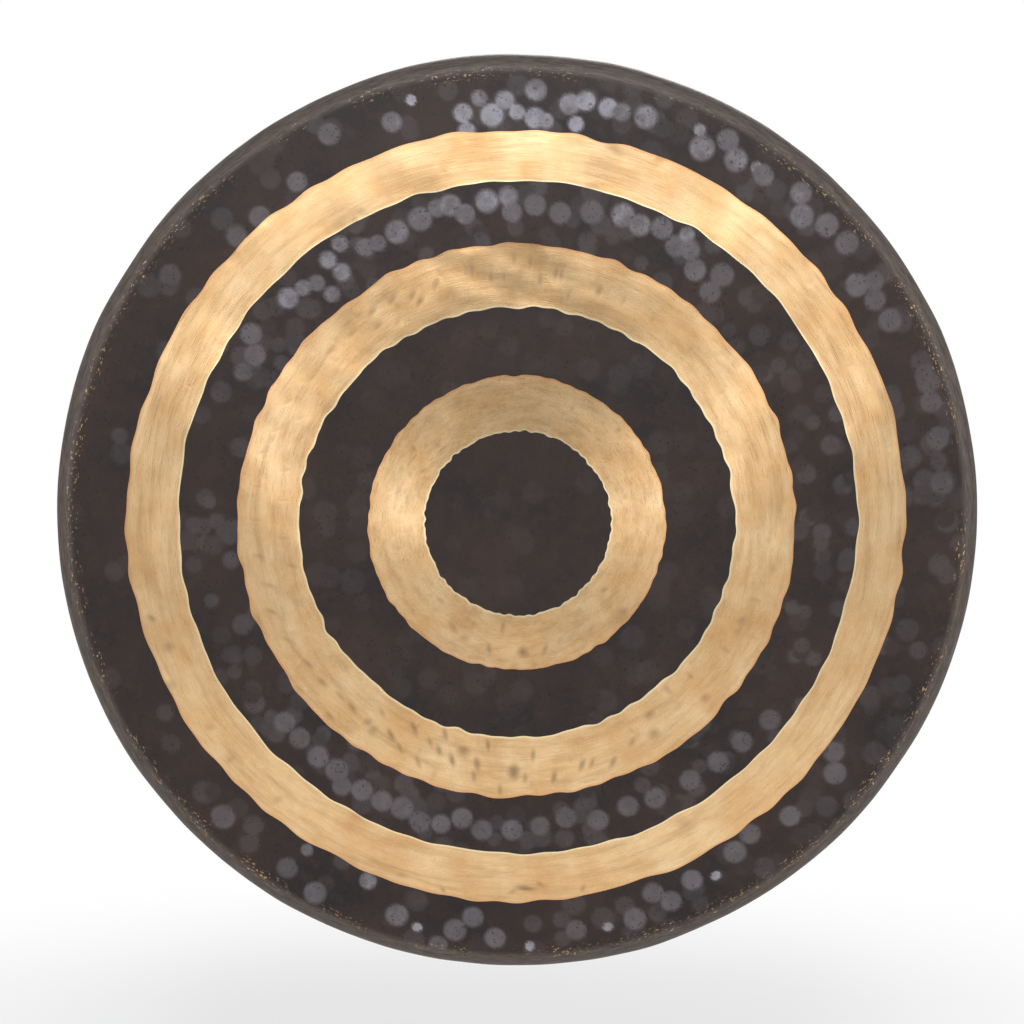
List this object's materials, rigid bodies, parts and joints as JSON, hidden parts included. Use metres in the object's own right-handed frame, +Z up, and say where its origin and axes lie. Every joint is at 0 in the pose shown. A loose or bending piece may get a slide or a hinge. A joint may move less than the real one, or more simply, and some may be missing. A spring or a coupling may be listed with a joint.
{
  "type": "gong",
  "caption": "Round hammered bronze gong with a turned-back rim, a dark oxide skin, bright scraped bands and lined cord holes; hangs upright by a cord.",
  "frame": {"origin": "half way between the centres of the two cord holes, where the cord carries the gong", "axes": "+Z up; the struck face looks towards -Y and the rim is turned back towards +Y; +X is to the right seen from the front"},
  "size_m": [0.7, 0.055, 0.7],
  "materials": {
    "oxide_bronze": "cast and beaten tin bronze under a dark brown-black fire oxide, burnished, with hammer marks",
    "scraped_bronze": "the same bronze scraped bright in circles, lacquer-free, with hammer marks and dents",
    "grommet_rubber": "matt black moulded rubber"
  },
  "bodies": {
    "root": {"bronze_plate": "oxide_bronze", "inner_scraped_band": "scraped_bronze", "middle_scraped_band": "scraped_bronze", "outer_scraped_band": "scraped_bronze", "left_cord_grommet": "grommet_rubber", "right_cord_grommet": "grommet_rubber"}
  },
  "joints": []
}
